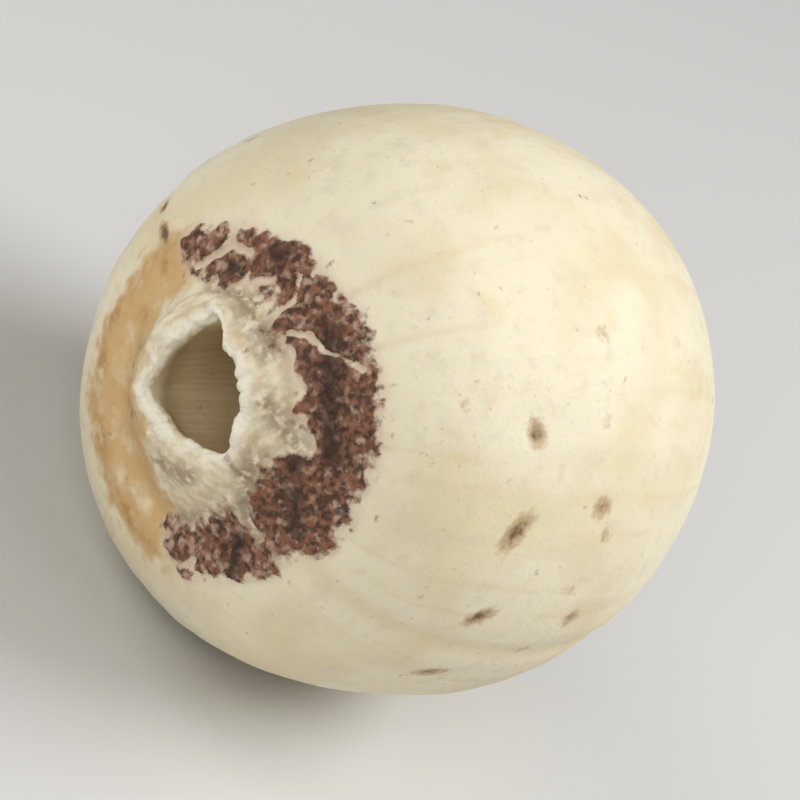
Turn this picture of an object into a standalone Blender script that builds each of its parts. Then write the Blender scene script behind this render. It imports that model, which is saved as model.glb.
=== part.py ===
"""One dried lotus seed, peeled and cored, lying on its side at its real size.

X runs along the seed: the torn tip is at -X and the drilled base at +X. Z is up. The origin is on
the ground under the middle of the seed, which rests on a small flat that it dried on.
Angles round the seed turn from +Y (0 degrees) towards +Z (90 degrees).
"""

import math

import bmesh
import bpy
import numpy as np
from mathutils import Vector, noise

MM = 0.001

# Driving dimensions in millimetres. LIP_AT, RIM_AT and the other places along the seed are counted
# from a point near mid length, and radii from the long axis, which runs through the drilled hole.
GIRTH = 13.8
GIRTH_AT = 0.5
LIP_AT = -7.38
RIM_AT = 7.5
TIP_REACH = 9.0
BASE_REACH = 7.25
MOUTH_RADIUS = 1.3
FOOT_RADIUS = 2.45
FOOT_HEIGHT = 0.93
SHOULDER_AT = -4.2
BORE_RADIUS = 1.3
GERM_RADIUS = 1.7
FLAT_DEPTH = 0.15

# The tip, as distance back from the lip and radius: a nipple with thin lips stands on the floor of
# a shallow ring hollow, where the last of the seed coat clung, and the plump shoulder comes after.
TIP_OUTLINE = [
    (0.0, MOUTH_RADIUS + 0.08),
    (0.04, MOUTH_RADIUS + 0.3),
    (0.21, 1.86),
    (0.53, 2.12),
    (FOOT_HEIGHT, FOOT_RADIUS),
    (1.22, 2.95),
    (1.27, 3.55),
    (1.53, 4.25),
    (1.93, 4.88),
    (2.48, 5.42),
]

# The base, as distance back from the rim of the drilled hole and radius.
BASE_OUTLINE = [
    (0.0, BORE_RADIUS + 0.22),
    (0.08, BORE_RADIUS + 0.04),
    (0.45, BORE_RADIUS),
]
BASE_ROUNDING = 0.16

# The drilled hole opens into the gap that the germ left, as place along the seed and radius.
BORE_OUTLINE = [
    (3.4, BORE_RADIUS + 0.02),
    (1.0, GERM_RADIUS - 0.12),
    (-2.2, GERM_RADIUS),
    (-5.0, GERM_RADIUS),
    (LIP_AT + 1.2, GERM_RADIUS - 0.16),
    (LIP_AT + 0.55, MOUTH_RADIUS + 0.04),
    (LIP_AT + 0.16, MOUTH_RADIUS),
    (LIP_AT, MOUTH_RADIUS + 0.08),
]

# The two halves of the seed meet in a faint groove on each flank, half a turn apart.
SEAM_ANGLE = 6
SEAM_WIDTH = 0.45
SEAM_DEPTH = 0.12

# The torn mouth in the tip: its middle beside the long axis as (y, z), then its edge from there as
# angle in degrees and reach. It has three corners, where the tip split.
MOUTH_MIDDLE = (-0.2, 0.41)
MOUTH_EDGE = [
    (12, 1.32),
    (43, 1.61),
    (50, 1.78),
    (58, 1.64),
    (71, 1.12),
    (110, 0.86),
    (153, 0.92),
    (184, 1.26),
    (196, 1.59),
    (204, 1.30),
    (242, 1.01),
    (285, 1.20),
    (315, 1.71),
    (339, 1.44),
]
MOUTH_DEPTH = 1.8
SPLIT_ANGLES = (50, 196, 315)
SPLIT_SPREAD = 14
SPLIT_DROP = 0.18

# Unevenness of the dried flesh: how far it is from round, and the height and length of its swells.
OUT_OF_ROUND = 0.07
SWELL_HEIGHT = 0.07
SWELL_LENGTH = 5.0
FLANK_FADE = 2.0

# How finely the outline is stepped at the tip and rim, on the belly and in the bore, in millimetres.
# A vertex nearer to the ground than GROUND_SNAP lies on it.
SIDES = 64
FINE_STEP = 0.32
BELLY_STEP = 0.8
BORE_STEP = 1.1
GROUND_SNAP = 0.02

FLESH_COLOUR = (0.85, 0.76, 0.54, 1.0)
FLESH_ROUGHNESS = 0.62
CREASE_ANGLE = 50


def clear_scene():
    for thing in list(bpy.data.objects):
        bpy.data.objects.remove(thing, do_unlink=True)


def heading(before, here, after):
    """The direction of a curve through a point, per millimetre, led by the nearer neighbour."""
    back, onward = here - before, after - here
    turned = back * (onward.length / back.length) + onward * (back.length / onward.length)
    return turned / (back.length + onward.length)


def curve_through(points, step):
    """Points about one step apart on a smooth curve through the given ones, both ends included."""
    line = [Vector(p) for p in points]
    line = [2 * line[0] - line[1]] + line + [2 * line[-1] - line[-2]]
    made = []
    for before, start, end, after in zip(line, line[1:], line[2:], line[3:]):
        chord = (end - start).length
        leave = heading(before, start, end) * chord
        arrive = heading(start, end, after) * chord
        count = max(1, round(chord / step))
        for i in range(count):
            t = i / count
            made.append(
                start * (2 * t**3 - 3 * t**2 + 1)
                + leave * (t**3 - 2 * t**2 + t)
                + end * (3 * t**2 - 2 * t**3)
                + arrive * (t**3 - t**2)
            )
    return made + [line[-2]]


def belly_turn(x):
    """The angle round the belly's arc at a place along the seed, negative towards the tip."""
    reach = BASE_REACH if x > GIRTH_AT else TIP_REACH
    return math.asin((x - GIRTH_AT) / reach)


def belly_point(turn):
    """A point of the belly, half an ellipse towards the base and half a longer one to the tip."""
    reach = BASE_REACH if turn > 0 else TIP_REACH
    return GIRTH_AT + reach * math.sin(turn), GIRTH / 2 * math.cos(turn)


def half_section():
    """Half of a lengthwise cut: from the lip over the tip, belly and base, and back by the bore."""
    shoulder = belly_turn(SHOULDER_AT)
    end = belly_turn(RIM_AT - BASE_ROUNDING)
    tip = [(LIP_AT + back, radius) for back, radius in TIP_OUTLINE] + [belly_point(shoulder)]
    steps = round((end - shoulder) * GIRTH / 2 / BELLY_STEP)
    belly = [Vector(belly_point(shoulder + (end - shoulder) * i / steps)) for i in range(1, steps)]
    base = [belly_point(end)] + [(RIM_AT - back, radius) for back, radius in BASE_OUTLINE]
    bore = base[-1:] + BORE_OUTLINE
    line = curve_through(tip, FINE_STEP) + belly
    line += curve_through(base, FINE_STEP)[:-1]
    return line + curve_through(bore, BORE_STEP)[:-1]


def spun_body():
    """The half section turned about the long axis, each vertex keeping its distances from the lip."""
    line = half_section()
    steps = [(b - a).length for a, b in zip(line, line[1:] + line[:1])]
    bm = bmesh.new()
    outward = bm.verts.layers.float.new("outward")
    inward = bm.verts.layers.float.new("inward")
    seam = math.radians(SEAM_ANGLE)
    ring = []
    for i, (x, radius) in enumerate(line):
        vert = bm.verts.new((x, radius * math.cos(seam), radius * math.sin(seam)))
        vert[outward] = sum(steps[:i])
        vert[inward] = sum(steps[i:]) if i else 0.0
        ring.append(vert)
    edges = [bm.edges.new(pair) for pair in zip(ring, ring[1:] + ring[:1])]
    bmesh.ops.spin(
        bm,
        geom=ring + edges,
        cent=(0, 0, 0),
        axis=(1, 0, 0),
        angle=math.tau,
        steps=SIDES,
        use_merge=True,
    )
    bmesh.ops.recalc_face_normals(bm, faces=bm.faces)
    return bm


def smooth(t):
    t = min(max(t, 0.0), 1.0)
    return t * t * (3 - 2 * t)


def angle_between(a, b):
    """The smaller angle between two directions round the seed, in degrees."""
    return abs((a - b + 180) % 360 - 180)


def round_the_seed(vert):
    """The direction of a vertex from the long axis, and its angle in degrees."""
    out = Vector((0, vert.co.y, vert.co.z)).normalized()
    return out, math.degrees(math.atan2(out.z, out.y)) % 360


def shape_flanks(bm):
    """Gives the outside its two seam grooves, its slightly oval girth and its soft swells."""
    for vert in bm.verts:
        radius = math.hypot(vert.co.y, vert.co.z)
        fade = smooth((radius - FOOT_RADIUS) / FLANK_FADE)
        if fade == 0:
            continue
        out, angle = round_the_seed(vert)
        off_seam = min(angle_between(angle, SEAM_ANGLE), angle_between(angle, SEAM_ANGLE + 180))
        groove = SEAM_DEPTH * math.exp(-((radius * math.radians(off_seam) / SEAM_WIDTH) ** 2))
        oval = OUT_OF_ROUND * math.cos(2 * math.radians(off_seam))
        swell = SWELL_HEIGHT * noise.noise(vert.co / SWELL_LENGTH)
        vert.co += out * (swell - oval - groove) * fade


def mouth_pull(outward, inward):
    """How far a vertex follows the torn mouth: 1 at its lip, 0 at the foot and deep in the bore."""
    flank = math.hypot(FOOT_HEIGHT, FOOT_RADIUS - MOUTH_RADIUS)
    if outward < flank:
        return 1 - outward / flank
    return 1 - smooth(inward / MOUTH_DEPTH)


def shape_mouth(bm):
    """Moves the round lip to the torn mouth's edge, a little lower where the tip split."""
    outward = bm.verts.layers.float["outward"]
    inward = bm.verts.layers.float["inward"]
    middle = Vector((0, *MOUTH_MIDDLE))
    angles, reaches = zip(*MOUTH_EDGE)
    for vert in bm.verts:
        pull = mouth_pull(vert[outward], vert[inward])
        if pull == 0:
            continue
        out, angle = round_the_seed(vert)
        reach = np.interp(angle, angles, reaches, period=360)
        split = sum(math.exp(-((angle_between(angle, at) / SPLIT_SPREAD) ** 2)) for at in SPLIT_ANGLES)
        vert.co += (middle + out * (reach - MOUTH_RADIUS)) * pull
        vert.co.x += SPLIT_DROP * split * pull


def cut_flat(bm):
    """Cuts away what is below the ground, and closes the cut with one flat face to rest on."""
    made = bmesh.ops.bisect_plane(
        bm,
        geom=bm.verts[:] + bm.edges[:] + bm.faces[:],
        dist=GROUND_SNAP,
        plane_co=(0, 0, 0),
        plane_no=(0, 0, -1),
        clear_outer=True,
    )
    edges = [piece for piece in made["geom_cut"] if isinstance(piece, bmesh.types.BMEdge)]
    for edge in edges:
        for vert in edge.verts:
            vert.co.z = 0
    bmesh.ops.contextual_create(bm, geom=edges)
    bmesh.ops.recalc_face_normals(bm, faces=bm.faces)


def flesh_material():
    material = bpy.data.materials.new("dried seed flesh")
    material.use_nodes = True
    shader = material.node_tree.nodes["Principled BSDF"]
    shader.inputs["Base Color"].default_value = FLESH_COLOUR
    shader.inputs["Roughness"].default_value = FLESH_ROUGHNESS
    shader.inputs["Metallic"].default_value = 0.0
    return material


def lotus_seed():
    bm = spun_body()
    shape_flanks(bm)
    shape_mouth(bm)
    middle = (LIP_AT + RIM_AT) / 2
    bmesh.ops.translate(bm, verts=bm.verts, vec=(-middle, 0, GIRTH / 2 - FLAT_DEPTH))
    cut_flat(bm)
    bmesh.ops.scale(bm, verts=bm.verts, vec=(MM, MM, MM))
    mesh = bpy.data.meshes.new("lotus_seed")
    bm.to_mesh(mesh)
    bm.free()
    mesh.shade_smooth()
    mesh.set_sharp_from_angle(angle=math.radians(CREASE_ANGLE))
    mesh.materials.append(flesh_material())
    seed = bpy.data.objects.new("lotus_seed", mesh)
    bpy.context.collection.objects.link(seed)
    return seed


clear_scene()
lotus_seed()
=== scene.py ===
"""The looks of one dried lotus seed, peeled and cored, lying on its belly on a pale floor."""

import math
import random

import bpy
import numpy as np
from mathutils import Matrix, Vector, noise


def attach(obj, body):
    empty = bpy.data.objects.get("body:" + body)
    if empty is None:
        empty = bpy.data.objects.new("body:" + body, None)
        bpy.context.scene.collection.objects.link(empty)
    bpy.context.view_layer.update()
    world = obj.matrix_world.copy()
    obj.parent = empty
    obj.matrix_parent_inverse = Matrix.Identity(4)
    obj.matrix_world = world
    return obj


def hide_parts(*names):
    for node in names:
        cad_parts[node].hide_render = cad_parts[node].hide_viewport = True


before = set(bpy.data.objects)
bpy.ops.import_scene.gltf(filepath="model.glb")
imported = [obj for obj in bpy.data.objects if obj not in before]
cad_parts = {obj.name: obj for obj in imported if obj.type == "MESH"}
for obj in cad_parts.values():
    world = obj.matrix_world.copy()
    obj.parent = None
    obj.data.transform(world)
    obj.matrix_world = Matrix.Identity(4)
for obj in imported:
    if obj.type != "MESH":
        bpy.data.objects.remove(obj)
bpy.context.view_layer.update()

# The seed's body: one piece of dried starchy flesh, plump and nearly round, drilled through from
# the base to the torn tip. It is shaped in millimetres. Its outline is half of a lengthwise cut,
# with places counted along the seed from near its middle, turned about the long axis.
MM = 0.001
GIRTH = 13.8
GIRTH_AT = 0.5
LIP_AT = -7.38
RIM_AT = 7.5
TIP_REACH = 9.0
BASE_REACH = 7.25
SHOULDER_AT = -4.2
MOUTH_RADIUS = 1.3
FOOT_RADIUS = 2.45
FOOT_HEIGHT = 0.93
BORE_RADIUS = 1.3
GERM_RADIUS = 1.7
FLAT_DEPTH = 0.15

TIP_OUTLINE = [
    (0.0, MOUTH_RADIUS + 0.08),
    (0.04, MOUTH_RADIUS + 0.3),
    (0.21, 1.86),
    (0.53, 2.12),
    (FOOT_HEIGHT, FOOT_RADIUS),
    (1.22, 2.95),
    (1.27, 3.55),
    (1.53, 4.25),
    (1.93, 4.88),
    (2.48, 5.42),
]
BASE_OUTLINE = [
    (0.0, BORE_RADIUS + 0.22),
    (0.08, BORE_RADIUS + 0.04),
    (0.45, BORE_RADIUS),
]
BASE_ROUNDING = 0.16
BORE_OUTLINE = [
    (3.4, BORE_RADIUS + 0.02),
    (1.0, GERM_RADIUS - 0.12),
    (-2.2, GERM_RADIUS),
    (-5.0, GERM_RADIUS),
    (LIP_AT + 1.2, GERM_RADIUS - 0.16),
    (LIP_AT + 0.55, MOUTH_RADIUS + 0.04),
    (LIP_AT + 0.16, MOUTH_RADIUS),
    (LIP_AT, MOUTH_RADIUS + 0.08),
]

# How finely it is stepped: finest at the lip, and coarser with distance from it.
COLUMNS = 360
LIP_STEP = 0.03
TIP_STEP_GROWTH = 0.013
BELLY_STEP = 0.15
RIM_STEP = 0.06
BORE_STEP = 0.35
BORE_STEP_GROWTH = 0.06
MERGE_WITHIN = 0.0005
LIP = Vector((LIP_AT, MOUTH_RADIUS))


def tip_step(point):
    return LIP_STEP + TIP_STEP_GROWTH * (point - LIP).length


def rim_step(point):
    return RIM_STEP


def bore_step(point):
    return min(BORE_STEP, LIP_STEP + BORE_STEP_GROWTH * (point - LIP).length)


def heading(before, here, after):
    """The direction of a curve through a point, per millimetre, led by the nearer neighbour."""
    back, onward = here - before, after - here
    turned = back * (onward.length / back.length) + onward * (back.length / onward.length)
    return turned / (back.length + onward.length)


def curve_through(points, step_at):
    """Points on a smooth curve through the given ones, about as far apart as step_at says."""
    line = [Vector(p) for p in points]
    line = [2 * line[0] - line[1]] + line + [2 * line[-1] - line[-2]]
    made = []
    for before, start, end, after in zip(line, line[1:], line[2:], line[3:]):
        chord = (end - start).length
        leave = heading(before, start, end) * chord
        arrive = heading(start, end, after) * chord
        count = max(1, round(chord / step_at((start + end) / 2)))
        for i in range(count):
            t = i / count
            made.append(
                start * (2 * t**3 - 3 * t**2 + 1)
                + leave * (t**3 - 2 * t**2 + t)
                + end * (3 * t**2 - 2 * t**3)
                + arrive * (t**3 - t**2)
            )
    return made + [line[-2]]


def belly_turn(x):
    """The angle round the belly's arc at a place along the seed, negative towards the tip."""
    reach = BASE_REACH if x > GIRTH_AT else TIP_REACH
    return math.asin((x - GIRTH_AT) / reach)


def belly_point(turn):
    """A point of the belly, half an ellipse towards the base and half a longer one to the tip."""
    reach = BASE_REACH if turn > 0 else TIP_REACH
    return GIRTH_AT + reach * math.sin(turn), GIRTH / 2 * math.cos(turn)


shoulder = belly_turn(SHOULDER_AT)
belly_end = belly_turn(RIM_AT - BASE_ROUNDING)
belly_steps = round((belly_end - shoulder) * GIRTH / 2 / BELLY_STEP)
tip = [(LIP_AT + back, radius) for back, radius in TIP_OUTLINE] + [belly_point(shoulder)]
base = [belly_point(belly_end)] + [(RIM_AT - back, radius) for back, radius in BASE_OUTLINE]
outline = curve_through(tip, tip_step)
for i in range(1, belly_steps):
    outline.append(Vector(belly_point(shoulder + (belly_end - shoulder) * i / belly_steps)))
outline += curve_through(base, rim_step)[:-1]
bore_start = len(outline)
outline += curve_through(base[-1:] + BORE_OUTLINE, bore_step)[:-1]

bpy.ops.object.select_all(action="DESELECT")
bpy.ops.mesh.primitive_circle_add(vertices=len(outline), radius=1)
seed = bpy.context.object
seed.name = "seed_body"
mesh = seed.data
mesh.name = "seed_body"
for vert, (x, radius) in zip(mesh.vertices, outline):
    vert.co = (x, radius, 0)

# Each vertex keeps its distance from the lip along the outline, over the outside and by the bore.
steps = [(b - a).length for a, b in zip(outline, outline[1:] + outline[:1])]
outward = np.concatenate([[0], np.cumsum(steps[:-1])])
inward = np.append(0, sum(steps) - outward[1:])
bore_from = outward[bore_start]
mesh.attributes.new("outward", "FLOAT", "POINT").data.foreach_set("value", outward)
mesh.attributes.new("inward", "FLOAT", "POINT").data.foreach_set("value", inward)

bpy.ops.object.mode_set(mode="EDIT")
bpy.ops.mesh.select_all(action="SELECT")
bpy.ops.mesh.spin(steps=COLUMNS, angle=math.tau, center=(0, 0, 0), axis=(1, 0, 0))
bpy.ops.mesh.select_all(action="SELECT")
bpy.ops.mesh.remove_doubles(threshold=MERGE_WITHIN)
bpy.ops.mesh.normals_make_consistent(inside=False)
bpy.ops.object.mode_set(mode="OBJECT")

PATTERN_SHIFT = Vector((17.3, 5.1, 9.7))


def numbers(name):
    """One of the seed's attributes as an array, a number for each vertex."""
    found = np.empty(len(mesh.vertices), np.float32)
    mesh.attributes[name].data.foreach_get("value", found)
    return found.astype(float)


def places():
    """The seed's vertices as an array of points."""
    found = np.empty(len(mesh.vertices) * 3, np.float32)
    mesh.vertices.foreach_get("co", found)
    return found.reshape(-1, 3).astype(float)


def place(points):
    """Puts the seed's vertices at new points."""
    mesh.vertices.foreach_set("co", np.asarray(points, np.float32).ravel())
    mesh.update()


def facing():
    """The way that the surface faces at each of the seed's vertices."""
    found = np.empty(len(mesh.vertices) * 3, np.float32)
    mesh.vertex_normals.foreach_get("vector", found)
    return found.reshape(-1, 3).astype(float)


def smooth(t):
    t = np.clip(t, 0, 1)
    return t * t * (3 - 2 * t)


def hill(distance, width):
    """A soft hill over a distance: 1 at its middle, and next to nothing past twice its width."""
    return np.exp(-((distance / width) ** 2))


def apart(angles, angle):
    """The turn from an angle to others round the seed, in degrees from -180 to 180."""
    return (angles - angle + 180) % 360 - 180


def rough(points, size, pattern, share=1):
    """Soft random heights within the share given, that rise and fall over a size in millimetres."""
    shift = PATTERN_SHIFT * pattern
    return share * np.array([noise.noise(Vector(p) / size + shift) for p in points])


def layered(points, layers):
    """Random heights of several sizes in one, each layer a size, a pattern and mostly a share."""
    return sum(rough(points, *layer) for layer in layers)


# The flanks: the two halves of the seed meet in a faint groove on each side, half a turn apart.
# The dried flesh is a little out of round and has soft swells. Relief is given from here on as its
# size in millimetres, the number of its pattern, and its height or its share of a height.
SEAM_ANGLE = 6
SEAM_WIDTH = 0.45
SEAM_DEPTH = 0.06
OUT_OF_ROUND = 0.07
SWELLS = (5.0, 0, 0.07)
FLANK_FADE = 2.0

outward = numbers("outward")
inward = numbers("inward")
points = places()
along = points[:, 0].copy()
radius = np.hypot(points[:, 1], points[:, 2])
angle = np.degrees(np.arctan2(points[:, 2], points[:, 1])) % 360
out = np.stack([np.zeros(len(points)), points[:, 1] / radius, points[:, 2] / radius], axis=1)
in_bore = outward >= bore_from

flank_fade = smooth((radius - FOOT_RADIUS) / FLANK_FADE) * ~in_bore
off_seam = np.minimum(np.abs(apart(angle, SEAM_ANGLE)), np.abs(apart(angle, SEAM_ANGLE + 180)))
from_seam = radius * np.radians(off_seam)
groove = SEAM_DEPTH * hill(from_seam, SEAM_WIDTH)
oval = OUT_OF_ROUND * np.cos(2 * np.radians(off_seam))
swell = rough(points, *SWELLS)
points += out * ((swell - oval - groove) * flank_fade)[:, None]

# The torn mouth in the tip, where the drill broke out: thin lips of flesh round an uneven hole
# with three corners, where the tip split. The hole's middle lies beside the long axis, and the lip
# dips on its near side, the one towards the dark coat.
MOUTH_MIDDLE = (-0.2, 0.41)
MOUTH_EDGE = [
    (12, 1.32),
    (43, 1.61),
    (50, 1.78),
    (58, 1.64),
    (71, 1.16),
    (104, 1.0),
    (130, 1.08),
    (158, 1.06),
    (184, 1.26),
    (197, 1.38),
    (212, 1.24),
    (242, 1.01),
    (285, 1.20),
    (315, 1.71),
    (339, 1.44),
]
MOUTH_DEPTH = 1.8
SPLIT_ANGLES = (50, 196, 315)
SPLIT_SPREAD = 18
SPLIT_DROP = 0.12
NEAR_SIDE = 130
NEAR_SPREAD = 55
NEAR_DROP = 0.14
TEAR_WIDTH = 0.75
TEAR_REACH = 0.07
TEARS_ACROSS = [(0.55, 1), (0.2, 2, 0.5)]
TEAR_HEIGHT = 0.12
TEARS_UP = [(0.55, 3), (0.2, 4, 0.6)]
TEAR_SET_BACK = 0.3

flank = math.hypot(FOOT_HEIGHT, FOOT_RADIUS - MOUTH_RADIUS)
pull = np.where(outward < flank, 1 - outward / flank, 1 - smooth(inward / MOUTH_DEPTH))
reach = np.interp(angle, *zip(*MOUTH_EDGE), period=360)
split = sum(hill(apart(angle, at), SPLIT_SPREAD) for at in SPLIT_ANGLES)
points += (np.array([0, *MOUTH_MIDDLE]) + out * (reach - MOUTH_RADIUS)[:, None]) * pull[:, None]
near_side = hill(apart(angle, NEAR_SIDE), NEAR_SPREAD)
points[:, 0] += (SPLIT_DROP * split + NEAR_DROP * near_side) * pull

from_lip = np.minimum(outward, inward)
torn = smooth(1 - from_lip / TEAR_WIDTH)
lip_line = out * MOUTH_RADIUS
points += out * (TEAR_REACH * layered(lip_line, TEARS_ACROSS) * torn)[:, None]
points[:, 0] += TEAR_HEIGHT * (layered(lip_line, TEARS_UP) + TEAR_SET_BACK) * torn
place(points)

# What is left of the seed coat: a dark red-brown skin dried onto the ring hollow round the tip. It
# is kept for each vertex as a share, one half along its ragged edge, and it stands a little proud.
# The places are angles round the seed with radii on the tip.
COAT_FROM = 20
COAT_TO = 248
COAT_EDGE = [
    (22, 3.75),
    (40, 3.85),
    (70, 3.8),
    (92, 3.95),
    (136, 4.3),
    (157, 4.18),
    (178, 4.36),
    (184, 4.15),
    (187, 3.75),
    (194, 3.7),
    (198, 4.05),
    (220, 3.85),
    (234, 3.98),
    (243, 3.85),
    (252, 3.5),
]
COAT_INNER = [
    (20, 3.08),
    (35, 2.61),
    (52, 2.55),
    (77, 2.75),
    (86, 2.28),
    (101, 2.22),
    (110, 2.44),
    (139, 2.56),
    (150, 2.82),
    (160, 2.49),
    (173, 2.2),
    (188, 2.29),
    (200, 2.73),
    (206, 2.32),
    (249, 3.05),
]

# Strokes where it has worn through, its darkest places, and lines between it and the lips that are
# partly a thin brown film and partly painted shade round the nipple's foot, each as a width and a
# line of such places.
COAT_WORN = [
    (0.12, [(201, 2.35), (202, 2.8), (197, 3.2)]),
    (0.12, [(28, 3.0), (38, 3.2), (45, 3.4), (54, 3.3)]),
    (0.08, [(80, 3.45), (84, 3.0), (83.5, 2.4)]),
    (0.09, [(96, 2.6), (101, 2.9), (110, 3.15), (114, 3.5), (120, 3.9)]),
    (0.09, [(97, 2.42), (104, 2.46), (117, 2.34)]),
    (0.1, [(232, 3.6), (235, 3.75)]),
    (0.1, [(60, 2.75), (70, 3.0)]),
]
COAT_DARKEST = [
    (0.2, [(48, 2.84), (51, 2.88)]),
    (0.14, [(38, 3.3), (40, 3.35)]),
    (0.2, [(66, 3.5), (70, 3.6)]),
    (0.18, [(158, 2.65), (162, 2.7)]),
    (0.25, [(172, 3.0), (180, 3.5)]),
    (0.3, [(105, 3.4), (122, 3.2), (150, 3.4)]),
    (0.22, [(208, 3.1), (213, 3.7)]),
]
# Partly a thin brown film, partly painted shade round the nipple's foot.
FILM_AND_FOOT_SHADE = [
    (0.3, [(134, 1.95), (146, 2.3), (151, 2.6)]),
    (0.3, [(168, 2.25), (178, 2.0), (190, 2.25), (200, 2.6), (199, 3.2), (192, 3.7)]),
    (0.25, [(205, 2.4), (225, 2.6), (245, 2.9)]),
    (0.25, [(40, 2.5), (62, 2.35), (84, 2.2), (100, 2.2)]),
    (0.2, [(228, 1.85), (245, 1.95), (262, 2.0)]),
    (0.2, [(300, 2.2), (322, 2.1), (340, 2.5)]),
]
COAT_THINNESS = [(20, 0.5), (60, 0.1), (185, 0.0), (197, 0.3), (235, 0.45), (248, 0.7)]
COAT_RAGGED = 0.2
COAT_TATTERS = [(0.5, 5), (0.21, 6, 0.7)]
COAT_SOFTNESS = 0.5
COAT_WHOLE_FROM = 0.3
DARKEST_HOLD = 0.4
WORN_DEPTH = 0.55
WORN_UNEVENLY = (0.3, 21, 1.1)
BED_MARGIN = 0.7
BED_SOFTNESS = 0.45
COAT_HEIGHT = 0.07
COAT_LIFTS_FROM = 0.35
COAT_LIFTS_OVER = 0.3
COAT_WRINKLE = 0.045
RING_WRINKLES = (0.2, 7)
FINE_WRINKLES = (0.13, 8, 0.5)
RING_TUBE = (0.3, 3.6)


def on_tip(angles, radii):
    """Points of the tip, seen from straight ahead, at the given angles and radii."""
    return np.stack([radii * np.cos(np.radians(angles)), radii * np.sin(np.radians(angles))], axis=-1)


tip_plan = on_tip(angle, radius)
tip_side = (along < 0) & ~in_bore


def near_route(route, width):
    """How near each vertex is to a line drawn on the tip: 1 on it, and next to nothing beside it."""
    corners = [on_tip(*corner) for corner in route]
    nearest = np.full(len(tip_plan), np.inf)
    for start, end in zip(corners, corners[1:]):
        run = end - start
        t = np.clip((tip_plan - start) @ run / (run @ run), 0, 1)
        gap = np.linalg.norm(tip_plan - start - t[:, None] * run, axis=1)
        nearest = np.minimum(nearest, gap)
    return hill(nearest, width) * tip_side


def on_tube(stretch, tube_radius):
    """The vertices moved onto a tube, with the places along it scaled, so patterns run along it."""
    return np.stack([stretch * along, *(out[:, 1:].T * tube_radius)], axis=1)


ragged = layered(points, COAT_TATTERS)
coat_inside = np.minimum.reduce([
    np.interp(angle, *zip(*COAT_EDGE)) - radius,
    radius - np.interp(angle, *zip(*COAT_INNER)),
    radius * np.radians(angle - COAT_FROM),
    radius * np.radians(COAT_TO - angle),
])
worn, darkest, film_and_foot_shade = (
    np.maximum.reduce([near_route(route, width) for width, route in routes])
    for routes in (COAT_WORN, COAT_DARKEST, FILM_AND_FOOT_SHADE)
)
bed = smooth(BED_MARGIN + (coat_inside + COAT_RAGGED / 2 * ragged) / BED_SOFTNESS) * tip_side
coat_inside = np.minimum(coat_inside, COAT_WHOLE_FROM) + COAT_RAGGED * ragged
coat_inside += DARKEST_HOLD * darkest * (1 - worn)
coat_inside -= WORN_DEPTH * worn * (1 + rough(points, *WORN_UNEVENLY))
coat = np.clip(0.5 + coat_inside / COAT_SOFTNESS, 0, 1) * tip_side

wrinkles = rough(on_tube(*RING_TUBE), *RING_WRINKLES) + rough(points, *FINE_WRINKLES)
lifted = smooth((coat - COAT_LIFTS_FROM) / COAT_LIFTS_OVER)
height = lifted * (COAT_HEIGHT + COAT_WRINKLE * wrinkles)

# The stain: on the far side of the ring hollow only an orange tint of the coat is left, deeper in
# spots and along the hollow's outer edge.
STAIN_MIDDLE = 314
STAIN_SPREAD = 78
STAIN_ENDS = 16
STAIN_EDGE = 4.15
STAIN_EDGE_RAGGED = 0.35
STAIN_INNER_RAGGED = 0.2
STAIN_SOFTNESS = 0.5
STAIN_LINE = 3.85
STAIN_LINE_WIDTH = 0.22
STAIN_LINE_RAGGED = 0.1
STAIN_LINE_SHARE = 0.5
STAIN_DEEP_RAGGED = 0.25
STAIN_INNER = [(256, 2.5), (274, 2.0), (293, 1.65), (314, 1.45), (334, 1.7), (348, 2.1), (364, 2.6)]
STAIN_SPOTS = [(10, 3.46), (348, 3.0), (339, 3.83), (309, 2.5), (322, 3.73), (297, 3.71), (268, 3.81)]
STAIN_SPOT_SIZE = 0.22

stain_turn = apart(angle, STAIN_MIDDLE)
stain_side = smooth((STAIN_SPREAD - np.abs(stain_turn)) / STAIN_ENDS)
inside_edge = STAIN_EDGE - radius + STAIN_EDGE_RAGGED * ragged
past_inner = radius - np.interp(STAIN_MIDDLE + stain_turn, *zip(*STAIN_INNER))
past_inner += STAIN_INNER_RAGGED * ragged
stain = smooth(inside_edge / STAIN_SOFTNESS + 0.5) * smooth(past_inner / STAIN_SOFTNESS + 0.5)
stain *= stain_side * tip_side
stain_line = hill(radius - STAIN_LINE + STAIN_LINE_RAGGED * ragged, STAIN_LINE_WIDTH)
spots = np.maximum.reduce([
    near_route([(at, reach), (at + 1, reach)], STAIN_SPOT_SIZE) for at, reach in STAIN_SPOTS
])
deep = (STAIN_LINE_SHARE * stain_line + spots) * stain_side + STAIN_DEEP_RAGGED * ragged
stain_deep = np.clip(deep, 0, 1) * stain

# The torn flesh of the nipple: fibres pleat its flanks, the lips are crumbly and swell to a ridge,
# the near one with a groove below it, and a crack runs on from the mouth's lower corner.
NIPPLE_RADIUS = 3.0
NIPPLE_FADE = 0.8
PLEAT_HEIGHT = 0.085
PLEATS = (0.5, 9)
FINE_PLEATS = (0.28, 20, 0.6)
PLEAT_TUBE = (1.4, 1.6)
PLEATS_LOST_AT_LIP = 0.5
CRUMB_HEIGHT = 0.05
CRUMBS = [(0.22, 10), (0.1, 11, 0.6)]
LIP_RIDGE = 0.07
LIP_RIDGE_AT = 0.1
LIP_RIDGE_WIDTH = 0.14
LIP_RIDGE_FAR = 0.4
LIP_GROOVE = 0.09
LIP_GROOVE_AT = 0.75
LIP_GROOVE_WIDTH = 0.3
CRACK = [(193, 1.42), (188, 1.85), (182, 2.3)]
CRACK_WIDTH = 0.08
CRACK_DEPTH = 0.03

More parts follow.
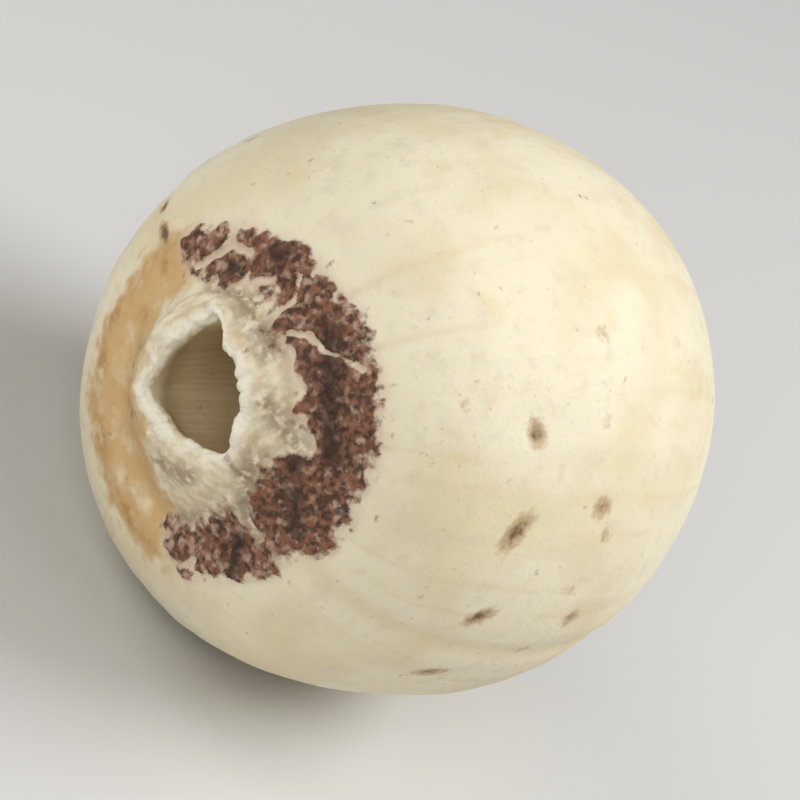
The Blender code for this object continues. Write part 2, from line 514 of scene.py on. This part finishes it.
nipple = smooth((NIPPLE_RADIUS - radius) / NIPPLE_FADE) * tip_side
pleats = rough(on_tube(*PLEAT_TUBE), *PLEATS) + rough(points, *FINE_PLEATS)
height += PLEAT_HEIGHT * pleats * nipple * (1 - PLEATS_LOST_AT_LIP * torn)
height += CRUMB_HEIGHT * layered(points, CRUMBS) * torn
ridge_side = LIP_RIDGE_FAR + (1 - LIP_RIDGE_FAR) * near_side
height += LIP_RIDGE * hill(from_lip - LIP_RIDGE_AT, LIP_RIDGE_WIDTH) * ridge_side
groove_below = hill(outward - LIP_GROOVE_AT, LIP_GROOVE_WIDTH)
height -= LIP_GROOVE * groove_below * near_side * tip_side
crack = near_route(CRACK, CRACK_WIDTH)
height -= CRACK_DEPTH * crack

# The flesh's own relief: faint lengthwise fibres, shallow dents and the crease of the seam.
FIBRE_HEIGHT = 0.015
FIBRES = [(0.6, 12), (0.27, 13, 0.5)]
FIBRE_TUBE = (0.12, GIRTH / 2)
DENTS = (1.5, 15, 0.03)
CREASE_DEPTH = 0.035
CREASE_WIDTH = 0.1
CREASE_WANDERS = (0.9, 14, 0.12)
CREASE_MEAN = 0.6
CREASE_UNEVENLY = (1.2, 16, 0.4)

fibres = layered(on_tube(*FIBRE_TUBE), FIBRES)
height += flank_fade * (FIBRE_HEIGHT * fibres + rough(points, *DENTS))
crease = hill(from_seam + rough(points, *CREASE_WANDERS), CREASE_WIDTH)
height -= CREASE_DEPTH * crease * flank_fade * (CREASE_MEAN + rough(points, *CREASE_UNEVENLY))

# Flecks: small brown scars in shallow pits, as place along the seed, angle round it, length
# lengthwise, breadth round the seed, depth of colour and slant. A few more lie on the far side.
FLECKS = [
    (-1.20, 116.8, 0.34, 0.40, 0.35, 0.0),
    (-3.08, 135.5, 0.36, 0.62, 0.85, -0.3),
    (-1.19, 133.2, 0.30, 0.32, 0.3, 0.0),
    (-2.96, 155.7, 0.42, 0.98, 0.9, 0.35),
    (-0.76, 149.3, 0.52, 0.50, 0.7, 0.3),
    (-0.30, 155.0, 0.28, 0.42, 0.5, -0.4),
    (-2.56, 176.5, 0.36, 0.66, 0.95, 0.6),
    (0.28, 175.0, 0.42, 0.44, 0.75, 0.3),
    (-0.52, 167.5, 0.44, 0.28, 0.35, 0.2),
    (-0.23, 184.9, 0.40, 0.34, 0.35, 0.0),
    (-1.97, 196.5, 0.40, 0.80, 0.7, 0.9),
    (-4.67, 130.1, 0.30, 0.36, 0.25, 0.0),
    (-4.05, 29.5, 0.36, 0.46, 0.35, 0.3),
    (-5.15, 8.0, 0.28, 0.48, 1.0, 0.5),
    (-5.80, 10.5, 0.28, 0.58, 1.0, 0.4),
    (-4.17, 175.5, 0.16, 0.16, 0.35, 0.0),
]
FAR_FLECKS = 16
FAR_PLACES = (-4.5, 6.0)
FAR_ANGLES = (228, 392)
FAR_LENGTHS = (0.2, 0.5)
FAR_BREADTHS = (0.8, 1.8)
FAR_DEPTHS = (0.25, 0.9)
FAR_SLANTS = (-0.6, 0.6)
FLECK_CORE = 1.25
FLECK_FALL = 0.75
FLECK_DEPTH = 0.035

draw = random.Random(7)
flecks = list(FLECKS)
for i in range(FAR_FLECKS):
    length = draw.uniform(*FAR_LENGTHS)
    flecks.append((
        draw.uniform(*FAR_PLACES),
        draw.uniform(*FAR_ANGLES),
        length,
        length * draw.uniform(*FAR_BREADTHS),
        draw.uniform(*FAR_DEPTHS),
        draw.uniform(*FAR_SLANTS),
    ))
fleck = np.zeros(len(points))
for place_along, place_angle, length, breadth, depth, slant in flecks:
    u = along - place_along
    v = GIRTH / 2 * np.radians(apart(angle, place_angle))
    u, v = u * math.cos(slant) + v * math.sin(slant), v * math.cos(slant) - u * math.sin(slant)
    far = np.hypot(u / (length / 2), v / (breadth / 2))
    fleck = np.maximum(fleck, depth * np.clip(FLECK_CORE - FLECK_FALL * far, 0, 1))
fleck *= ~in_bore
height -= FLECK_DEPTH * smooth(fleck)

# The drilled base: the drill left a slightly chipped rim round its hole, and faint lengthwise
# relief in the bore, where the flesh is yellower.
RIM_BEFORE_BORE = 0.3
RIM_WIDTH = 0.45
CHIP_HEIGHT = 0.05
CHIPS = (0.35, 17)
FINE_CHIPS = (0.16, 18, 0.7)
BORE_RELIEF = (0.5, 19, 0.05)
BORE_RELIEF_STRETCH = (0.4, 1, 1)
BORE_RELIEF_FADE = 0.8

rim = hill(outward - bore_from + RIM_BEFORE_BORE, RIM_WIDTH) * (along > 0)
height += CHIP_HEIGHT * rim * (rough(lip_line, *CHIPS) + rough(points, *FINE_CHIPS))
bore_relief = rough(points * BORE_RELIEF_STRETCH, *BORE_RELIEF)
height += bore_relief * in_bore * smooth(inward / BORE_RELIEF_FADE)
place(points + facing() * height[:, None])

# What the finish needs to know of each place is kept there as a share from 0 to 1.
# Torn lips: paler flesh and a painted highlight along them, stronger on the near side.
TORN_FAR_SIDE = 0.88
TORN_NEAR_SIDE_HIGHLIGHT = 0.3
BORE_TINT_FADE = 1.5
SEAM_TINT_WIDTH = 0.3

shares = {
    "coat": coat,
    "coat_bed": bed,
    "coat_darkest": darkest,
    "film_and_foot_shade": film_and_foot_shade,
    "coat_thin": np.interp(angle, *zip(*COAT_THINNESS)),
    "stain": stain,
    "stain_deep": stain_deep,
    "torn": np.clip(torn * (TORN_FAR_SIDE + TORN_NEAR_SIDE_HIGHLIGHT * near_side), 0, 1),
    "nipple": nipple,
    "crack": crack,
    "bore": smooth(inward / BORE_TINT_FADE) * in_bore,
    "rim": rim,
    "fleck": fleck,
    "seam": hill(from_seam, SEAM_TINT_WIDTH) * flank_fade,
}
for name, share in shares.items():
    mesh.attributes.new(name, "FLOAT", "POINT").data.foreach_set("value", share.astype(np.float32))

# The seed lies on the small flat that it dried on, so what is below the ground is cut away. It
# stands for the solid seed of the frame, and it is all one piece.
CUT_SNAP = 0.01

ground = GIRTH / 2 - FLAT_DEPTH
middle = (LIP_AT + RIM_AT) / 2
bpy.ops.object.mode_set(mode="EDIT")
bpy.ops.mesh.select_all(action="SELECT")
bpy.ops.mesh.bisect(
    plane_co=(0, 0, -ground),
    plane_no=(0, 0, -1),
    use_fill=True,
    clear_outer=True,
    threshold=CUT_SNAP,
)
bpy.ops.object.mode_set(mode="OBJECT")
points = (places() + (-middle, 0, ground)) * MM
points[:, 2] = np.maximum(points[:, 2], 0)
place(points)
mesh.shade_smooth()
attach(seed, "root")
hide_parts("lotus_seed")

# The finish: matt cream flesh, a little see-through like wax, with a fine grain and a lengthwise
# streak. The shares kept above lay the coat, the stain, the torn flesh and the flecks over it.
FLESH_LIGHT = (0.92, 0.84, 0.62)
FLESH_WARM = (0.86, 0.75, 0.50)
FLESH_GREY = (0.78, 0.70, 0.52)
STREAK = (0.80, 0.66, 0.40)
OCHRE = (0.83, 0.66, 0.34)
COAT_DARK = (0.082, 0.040, 0.024)
COAT_RED = (0.295, 0.126, 0.073)
COAT_PALE = (0.58, 0.40, 0.29)
COAT_BED = (0.70, 0.53, 0.40)
COAT_DARKEST_BROWN = (0.030, 0.015, 0.009)
# Thin brown film, and painted shade round the nipple's foot.
FILM_AND_SHADE_BROWN = (0.36, 0.26, 0.17)
STAIN_TINT = (0.68, 0.44, 0.19)
STAIN_DARK = (0.50, 0.27, 0.095)
# Paler torn flesh, with a painted highlight along the lips.
TORN_FLESH_AND_HIGHLIGHT = (0.93, 0.86, 0.71)
NIPPLE_FLESH = (0.75, 0.61, 0.40)
# Painted shade in the crack.
CRACK_SHADE = (0.22, 0.13, 0.07)
BORE_FLESH = (0.86, 0.71, 0.46)
BORE_STREAK = (0.76, 0.60, 0.36)
RIM_TINT = (0.74, 0.57, 0.32)
FLECK_HALO = (0.56, 0.38, 0.19)
FLECK_BROWN = (0.15, 0.065, 0.026)
SPECK_BROWN = (0.46, 0.32, 0.16)
GLOW_SHARE = 0.2
GLOW_REACH = (1.0, 0.6, 0.3)
GLOW_DEPTH = 0.35
SHINE = 0.35

flesh = bpy.data.materials.new("dried_flesh")
flesh.use_nodes = True
tree = flesh.node_tree
shader = tree.nodes["Principled BSDF"]
shader.inputs["Subsurface Weight"].default_value = GLOW_SHARE
shader.inputs["Subsurface Radius"].default_value = GLOW_REACH
shader.inputs["Subsurface Scale"].default_value = GLOW_DEPTH * MM
shader.inputs["Specular IOR Level"].default_value = SHINE
coordinates = tree.nodes.new("ShaderNodeTexCoord").outputs["Object"]


def feed(socket, value):
    """Sets a socket to a number or a colour, or links it to another node's output."""
    if isinstance(value, bpy.types.NodeSocket):
        tree.links.new(value, socket)
    elif isinstance(value, tuple):
        socket.default_value = (*value, 1) if len(socket.default_value) == 4 else value
    else:
        socket.default_value = value


def kept(name):
    """A share that each vertex keeps."""
    node = tree.nodes.new("ShaderNodeAttribute")
    node.attribute_name = name
    return node.outputs["Fac"]


def worked_out(operation, first, second):
    """One number worked out from two, each a plain number or another node's output."""
    node = tree.nodes.new("ShaderNodeMath")
    node.operation = operation
    feed(node.inputs[0], first)
    feed(node.inputs[1], second)
    return node.outputs[0]


def times(first, second):
    return worked_out("MULTIPLY", first, second)


def plus(first, second):
    return worked_out("ADD", first, second)


def between(value, low, high):
    """A soft step: 0 where the value is at low, 1 where it is at high."""
    node = tree.nodes.new("ShaderNodeMapRange")
    node.interpolation_type = "SMOOTHSTEP"
    feed(node.inputs["Value"], value)
    node.inputs["From Min"].default_value = low
    node.inputs["From Max"].default_value = high
    return node.outputs["Result"]


def cloud(size, detail=3.0, vector=coordinates):
    """Soft noise from 0 to 1 with swells of about the given size in millimetres."""
    node = tree.nodes.new("ShaderNodeTexNoise")
    node.inputs["Scale"].default_value = 1 / (size * MM)
    node.inputs["Detail"].default_value = detail
    tree.links.new(vector, node.inputs["Vector"])
    return node.outputs["Fac"]


def patches(size, low, high, detail=3.0, vector=coordinates):
    """Soft patches: 0 where noise of the given size is under low, and 1 where it is over high."""
    return between(cloud(size, detail, vector), low, high)


def frayed(share, size, strength):
    """A share frayed by noise of the given size, which adds or takes up to half the strength."""
    return plus(share, times(plus(cloud(size), -0.5), strength))


def laid(below, above, share, strength=1):
    """One colour laid over another, by a share from 0 to 1 and at most at the given strength."""
    node = tree.nodes.new("ShaderNodeMix")
    node.data_type = "RGBA"
    factor, lower, upper = node.inputs[0], node.inputs[6], node.inputs[7]
    feed(factor, share if strength == 1 else times(share, strength))
    feed(lower, below)
    feed(upper, above)
    return node.outputs[2]


# Lengthwise streaks keep to their angle round the seed, so they are read from a drawn-in seed: a
# plain tube about the long axis, with the places along it nearly closed up.
STREAK_STRETCH = 0.1

centred = tree.nodes.new("ShaderNodeVectorMath")
centred.operation = "SUBTRACT"
feed(centred.inputs[0], coordinates)
feed(centred.inputs[1], (0.0, 0.0, ground * MM))
across = tree.nodes.new("ShaderNodeVectorMath")
across.operation = "MULTIPLY"
feed(across.inputs[0], centred.outputs[0])
feed(across.inputs[1], (0.0, 1.0, 1.0))
circle = tree.nodes.new("ShaderNodeVectorMath")
circle.operation = "NORMALIZE"
feed(circle.inputs[0], across.outputs[0])
girthwise = tree.nodes.new("ShaderNodeVectorMath")
girthwise.operation = "SCALE"
feed(girthwise.inputs[0], circle.outputs[0])
girthwise.inputs["Scale"].default_value = GIRTH / 2 * MM
lengthwise = tree.nodes.new("ShaderNodeVectorMath")
lengthwise.operation = "MULTIPLY_ADD"
feed(lengthwise.inputs[0], centred.outputs[0])
feed(lengthwise.inputs[1], (STREAK_STRETCH, 0.0, 0.0))
feed(lengthwise.inputs[2], girthwise.outputs[0])
streak_place = lengthwise.outputs[0]

# The flesh itself: pale, with warm, grey and ochre patches, streaks, the tinted seam and specks.
colour = laid(FLESH_LIGHT, FLESH_WARM, patches(2.6, 0.40, 0.68, detail=2.0))
colour = laid(colour, FLESH_GREY, patches(0.45, 0.50, 0.75), strength=0.55)
colour = laid(colour, OCHRE, patches(1.1, 0.60, 0.78, detail=2.0), strength=0.35)
streaks = patches(0.5, 0.55, 0.75, detail=2.0, vector=streak_place)
colour = laid(colour, STREAK, streaks, strength=0.35)
colour = laid(colour, STREAK, kept("seam"), strength=0.5)
specks = times(patches(0.12, 0.71, 0.78, detail=1.0), patches(2.0, 0.52, 0.62, detail=1.0))
colour = laid(colour, SPECK_BROWN, specks, strength=0.4)

# The nipple's greyer flanks, the orange stain, the pale torn lips with a painted highlight along
# them, the crack darkened with painted shade, and the drilled parts.
colour = laid(colour, NIPPLE_FLESH, times(kept("nipple"), patches(0.32, 0.36, 0.66)))
stain_share = times(kept("stain"), patches(0.6, 0.05, 0.55))
colour = laid(colour, STAIN_TINT, stain_share, strength=0.95)
stain_deep_share = times(kept("stain_deep"), patches(0.25, 0.3, 0.65, detail=2.0))
colour = laid(colour, STAIN_DARK, stain_deep_share, strength=0.8)
# The lips: paler torn flesh with a painted highlight, full right at their edge.
torn_and_highlight_share = times(between(kept("torn"), 0.5, 0.9), patches(0.4, 0.3, 0.5))
lip_pale_and_highlight_share = worked_out("MAXIMUM", torn_and_highlight_share, between(kept("torn"), 0.82, 0.97))
colour = laid(colour, TORN_FLESH_AND_HIGHLIGHT, lip_pale_and_highlight_share)
# Painted shade darkens the crack.
crack_shade_share = times(kept("crack"), patches(0.2, 0.3, 0.6, detail=2.0))
colour = laid(colour, CRACK_SHADE, crack_shade_share, strength=0.75)
colour = laid(colour, RIM_TINT, kept("rim"), strength=0.6)
bore_flesh = laid(BORE_FLESH, BORE_STREAK, patches(0.3, 0.35, 0.7, vector=streak_place))
colour = laid(colour, bore_flesh, kept("bore"))

# Each fleck has a pale brown halo and a dark heart, both frayed.
fleck_field = frayed(kept("fleck"), 0.14, strength=0.7)
colour = laid(colour, FLECK_HALO, between(fleck_field, 0.05, 0.45), strength=0.7)
colour = laid(colour, FLECK_BROWN, between(fleck_field, 0.38, 0.95), strength=0.9)

# The coat's skin is frayed at its edge and mottled in three browns. It leaves a pinkish bed where
# it has worn off, and between it and the lips a brown that is partly a thin film and partly painted
# shade round the nipple's foot.
bed_share = times(kept("coat_bed"), patches(0.3, 0.2, 0.55))
colour = laid(colour, COAT_BED, bed_share, strength=0.8)
film_and_shade_share = times(kept("film_and_foot_shade"), patches(0.2, 0.32, 0.58, detail=2.0))
colour = laid(colour, FILM_AND_SHADE_BROWN, film_and_shade_share, strength=0.8)
coat_share = between(frayed(kept("coat"), 0.27, strength=1.8), 0.3, 0.72)
mottle = cloud(0.17)
skin = laid(COAT_DARK, COAT_RED, between(mottle, 0.36, 0.64))
thinned = plus(cloud(0.23), times(kept("coat_thin"), 0.1))
skin = laid(skin, COAT_PALE, between(thinned, 0.5, 0.72), strength=0.85)
skin = laid(skin, COAT_DARKEST_BROWN, kept("coat_darkest"), strength=0.8)
colour = laid(colour, skin, coat_share)
feed(shader.inputs["Base Color"], colour)

# The surface is matt, the coat a little more so, with a fine grain, fibres, the coat's wrinkled
# skin and the crumbly nipple as relief.
FLESH_ROUGHNESS = 0.52
ROUGHNESS_VARIES = 0.14
COAT_ROUGHER = 0.08
GRAIN_RELIEF = 0.9
FIBRE_RELIEF = 0.4
SKIN_RELIEF = 3.0
CRUMBLE_RELIEF = 1.6
RELIEF_STRENGTH = 0.5
RELIEF_DEPTH = 0.03

roughness = plus(FLESH_ROUGHNESS, times(cloud(0.5, 1.0), ROUGHNESS_VARIES))
feed(shader.inputs["Roughness"], plus(roughness, times(coat_share, COAT_ROUGHER)))

fibre_grain = times(cloud(0.4, 2.0, streak_place), FIBRE_RELIEF)
grain = plus(times(cloud(0.12, 2.0), GRAIN_RELIEF), fibre_grain)
skin_relief = times(kept("coat"), times(mottle, SKIN_RELIEF))
crumble = times(kept("nipple"), times(cloud(0.17, 2.0), CRUMBLE_RELIEF))
relief = tree.nodes.new("ShaderNodeBump")
relief.inputs["Strength"].default_value = RELIEF_STRENGTH
relief.inputs["Distance"].default_value = RELIEF_DEPTH * MM
feed(relief.inputs["Height"], plus(grain, plus(skin_relief, crumble)))
feed(shader.inputs["Normal"], relief.outputs[0])
mesh.materials.clear()
mesh.materials.append(flesh)

# The studio: a plain pale floor under four soft round lamps, each given as its direction and its
# power, in a dim pale room.
FLOOR_SIZE = 2
FLOOR_COLOUR = (0.66, 0.65, 0.635, 1)
FLOOR_ROUGHNESS = 0.9
ROOM_COLOUR = (1.0, 0.985, 0.95, 1)
ROOM_STRENGTH = 0.1
LAMP_DISTANCE = 0.14
LAMP_SIZE = 0.09
LAMPS = {
    "side_lamp": ((0.55, -0.35, 0.75), 0.148),
    "overhead_lamp": ((-0.12, -0.34, 0.93), 0.030),
    "front_lamp": ((-0.80, -0.25, 0.55), 0.070),
    "rear_lamp": ((-0.55, 0.70, 0.45), 0.058),
}

bpy.ops.object.select_all(action="DESELECT")
bpy.ops.mesh.primitive_plane_add(size=FLOOR_SIZE, location=(0, 0, 0))
floor = bpy.context.object
floor.name = "floor"
paint = bpy.data.materials.new("pale_floor")
paint.use_nodes = True
paint_shader = paint.node_tree.nodes["Principled BSDF"]
paint_shader.inputs["Base Color"].default_value = FLOOR_COLOUR
paint_shader.inputs["Roughness"].default_value = FLOOR_ROUGHNESS
floor.data.materials.append(paint)

world = bpy.data.worlds.new("studio")
bpy.context.scene.world = world
world.use_nodes = True
room = world.node_tree.nodes["Background"]
room.inputs["Color"].default_value = ROOM_COLOUR
room.inputs["Strength"].default_value = ROOM_STRENGTH
bpy.context.scene.view_settings.view_transform = "Standard"

heart = Vector((0, 0, ground * MM))
for name, (direction, power) in LAMPS.items():
    towards = Vector(direction).normalized()
    lamp_data = bpy.data.lights.new(name, "AREA")
    lamp_data.shape = "DISK"
    lamp_data.size = LAMP_SIZE
    lamp_data.energy = power
    lamp = bpy.data.objects.new(name, lamp_data)
    bpy.context.collection.objects.link(lamp)
    lamp.location = heart + towards * LAMP_DISTANCE
    lamp.rotation_euler = towards.to_track_quat("Z", "Y").to_euler()

# The camera looks down on the tip, 39 degrees off the seed's long axis, and is turned on its side
# so that the tip points to the left of the picture.
OFF_AXIS = math.radians(39)
LIFT = math.radians(51)
FRAME_WIDTH = 18.6 * MM
LENS = 150

toward = Vector((
    -math.cos(OFF_AXIS),
    -math.sin(OFF_AXIS) * math.cos(LIFT),
    math.sin(OFF_AXIS) * math.sin(LIFT),
))
up = Vector((0, math.sin(LIFT), math.cos(LIFT)))
right = up.cross(toward)
camera_data = bpy.data.cameras.new("camera")
camera_data.lens = LENS
camera_data.clip_start = MM
camera = bpy.data.objects.new("camera", camera_data)
bpy.context.collection.objects.link(camera)
distance = FRAME_WIDTH * LENS / camera_data.sensor_width
turn = Matrix((right, up, toward)).transposed()
camera.matrix_world = Matrix.Translation(heart + toward * distance) @ turn.to_4x4()
bpy.context.scene.camera = camera
